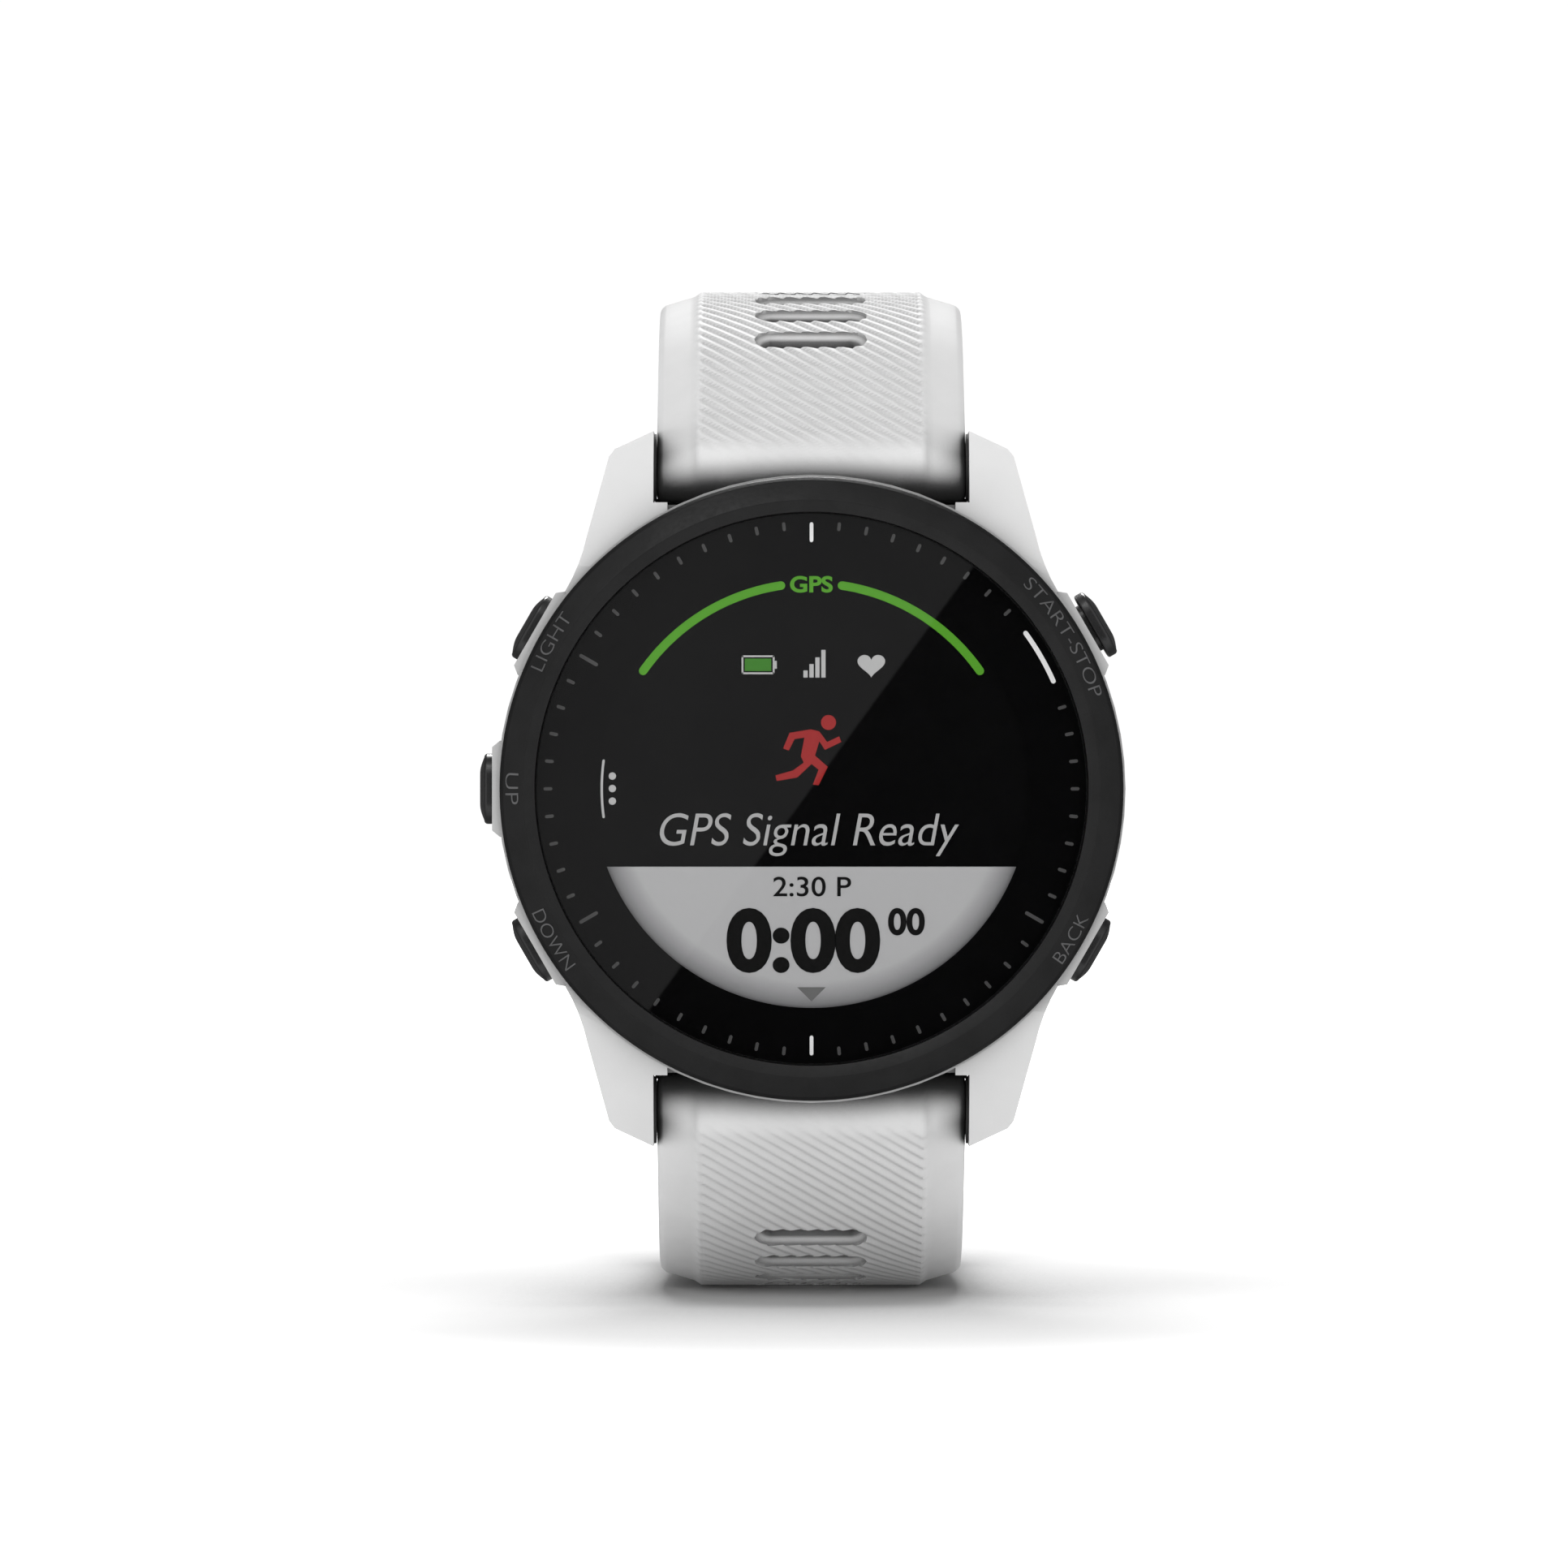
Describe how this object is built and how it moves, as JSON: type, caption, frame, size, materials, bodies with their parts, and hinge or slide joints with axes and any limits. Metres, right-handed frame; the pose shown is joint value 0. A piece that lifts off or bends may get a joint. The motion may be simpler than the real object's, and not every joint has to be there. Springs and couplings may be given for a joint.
{
  "type": "gps running watch",
  "caption": "Round running watch with side buttons, dark display under a flat lens, and a two-piece ribbed silicone strap with a pin buckle.",
  "frame": {"origin": "centre of the flat wrist face of the optical sensor window", "axes": "+Y out of the back of the case towards the wrist, so the dial faces -Y; +Z to 12 o'clock; +X to 3 o'clock"},
  "size_m": [0.0457, 0.0864, 0.0732],
  "materials": {
    "white_polymer": "satin white fibre-filled polymer",
    "white_silicone": "matte white silicone rubber",
    "black_polymer": "fine-grained matte black polymer",
    "dark_glass": "polished, black printed border round the clear window",
    "display_face": "dark transflective display",
    "sensor_silicon": "dark silicon under clear resin",
    "light_diffuser": "milky diffuser sheet",
    "black_rubber": "matte seal rubber",
    "green_laminate": "solder-masked glass-fibre laminate",
    "battery_foil": "crimped pouch foil",
    "bright_steel": "bright stamped steel",
    "satin_steel": "fine brushed stainless steel",
    "brass": "bare turned brass",
    "gold_plate": "gold-plated contact",
    "lamp_resin": "clear lamp resin"
  },
  "bodies": {
    "watch": {"case_shell": "white_polymer", "bezel": "black_polymer", "rear_cover": "black_polymer", "inner_chassis": "black_polymer", "charge_socket": "black_polymer", "lens": "dark_glass", "sensor_window": "dark_glass", "display_panel": "display_face", "photodiode": "sensor_silicon", "backlight_plate": "light_diffuser", "lens_gasket": "black_rubber", "rear_gasket": "black_rubber", "main_board": "green_laminate", "sensor_board": "green_laminate", "battery": "battery_foil", "processor_shield": "bright_steel", "gps_antenna": "bright_steel", "vibration_motor": "bright_steel", "switch_start": "bright_steel", "switch_back": "bright_steel", "switch_light": "bright_steel", "switch_up": "bright_steel", "switch_down": "bright_steel", "rear_screw_1": "satin_steel", "rear_screw_2": "satin_steel", "rear_screw_3": "satin_steel", "rear_screw_4": "satin_steel", "lug_pin_upper": "satin_steel", "lug_pin_lower": "satin_steel", "buzzer": "brass", "charge_contact_1": "gold_plate", "charge_contact_2": "gold_plate", "charge_contact_3": "gold_plate", "charge_contact_4": "gold_plate", "green_led_left": "lamp_resin", "green_led_right": "lamp_resin", "red_led": "lamp_resin"},
    "start_button": {"button_start": "black_polymer", "button_seal_start": "black_rubber"},
    "back_button": {"button_back": "black_polymer", "button_seal_back": "black_rubber"},
    "light_button": {"button_light": "black_polymer", "button_seal_light": "black_rubber"},
    "up_button": {"button_up": "black_polymer", "button_seal_up": "black_rubber"},
    "down_button": {"button_down": "black_polymer", "button_seal_down": "black_rubber"},
    "upper_strap": {"strap_upper": "white_silicone", "latch_hook_upper": "satin_steel", "buckle_pin": "satin_steel", "keeper_fixed": "white_silicone"},
    "lower_strap": {"strap_lower": "white_silicone", "latch_hook_lower": "satin_steel"},
    "upper_latch": {"latch_tab_upper": "satin_steel"},
    "lower_latch": {"latch_tab_lower": "satin_steel"},
    "buckle": {"buckle_frame": "satin_steel"},
    "tongue": {"buckle_tongue": "satin_steel"},
    "loop": {"keeper_sliding": "white_silicone"},
    "motor_weight": {"vibration_weight": "brass"}
  },
  "joints": [
    {"name": "start_press", "type": "slide", "parent": "watch", "child": "start_button", "axis": [0.866, 0, 0.5], "range_m": [-0.00028, 0], "stiffness_N_per_m": 4000},
    {"name": "back_press", "type": "slide", "parent": "watch", "child": "back_button", "axis": [0.866, 0, -0.5], "range_m": [-0.00035, 0], "stiffness_N_per_m": 4000},
    {"name": "light_press", "type": "slide", "parent": "watch", "child": "light_button", "axis": [-0.866, 0, 0.5], "range_m": [-0.00035, 0], "stiffness_N_per_m": 4000},
    {"name": "up_press", "type": "slide", "parent": "watch", "child": "up_button", "axis": [-1, 0, 0], "range_m": [-0.00035, 0], "stiffness_N_per_m": 4000},
    {"name": "down_press", "type": "slide", "parent": "watch", "child": "down_button", "axis": [-0.866, 0, -0.5], "range_m": [-0.00035, 0], "stiffness_N_per_m": 4000},
    {"name": "upper_strap_pivot", "type": "hinge", "parent": "watch", "child": "upper_strap", "pos_m": [0, -0.0046, 0.0229], "axis": [1, 0, 0], "range_deg": [-15, 60]},
    {"name": "lower_strap_pivot", "type": "hinge", "parent": "watch", "child": "lower_strap", "pos_m": [0, -0.0046, -0.0229], "axis": [1, 0, 0], "range_deg": [-60, 15]},
    {"name": "upper_latch_slide", "type": "slide", "parent": "upper_strap", "child": "upper_latch", "axis": [1, 0, 0], "range_m": [0, 0.0015], "stiffness_N_per_m": 500},
    {"name": "lower_latch_slide", "type": "slide", "parent": "lower_strap", "child": "lower_latch", "axis": [1, 0, 0], "range_m": [0, 0.0015], "stiffness_N_per_m": 500},
    {"name": "buckle_pivot", "type": "hinge", "parent": "upper_strap", "child": "buckle", "pos_m": [0, 0.0426, 0.00507], "axis": [1, 0, 0], "range_deg": [-90, 0]},
    {"name": "tongue_pivot", "type": "hinge", "parent": "upper_strap", "child": "tongue", "pos_m": [0, 0.0426, 0.00507], "axis": [1, 0, 0], "range_deg": [0, 100]},
    {"name": "loop_slide", "type": "hinge", "parent": "upper_strap", "child": "loop", "pos_m": [0, 0.01745, 0.01008], "axis": [1, 0, 0], "range_deg": [-2, 82]},
    {"name": "motor_spin", "type": "hinge", "parent": "watch", "child": "motor_weight", "pos_m": [-0.004, -0.0067, -0.0052], "axis": [1, 0, 0], "continuous": true}
  ]
}
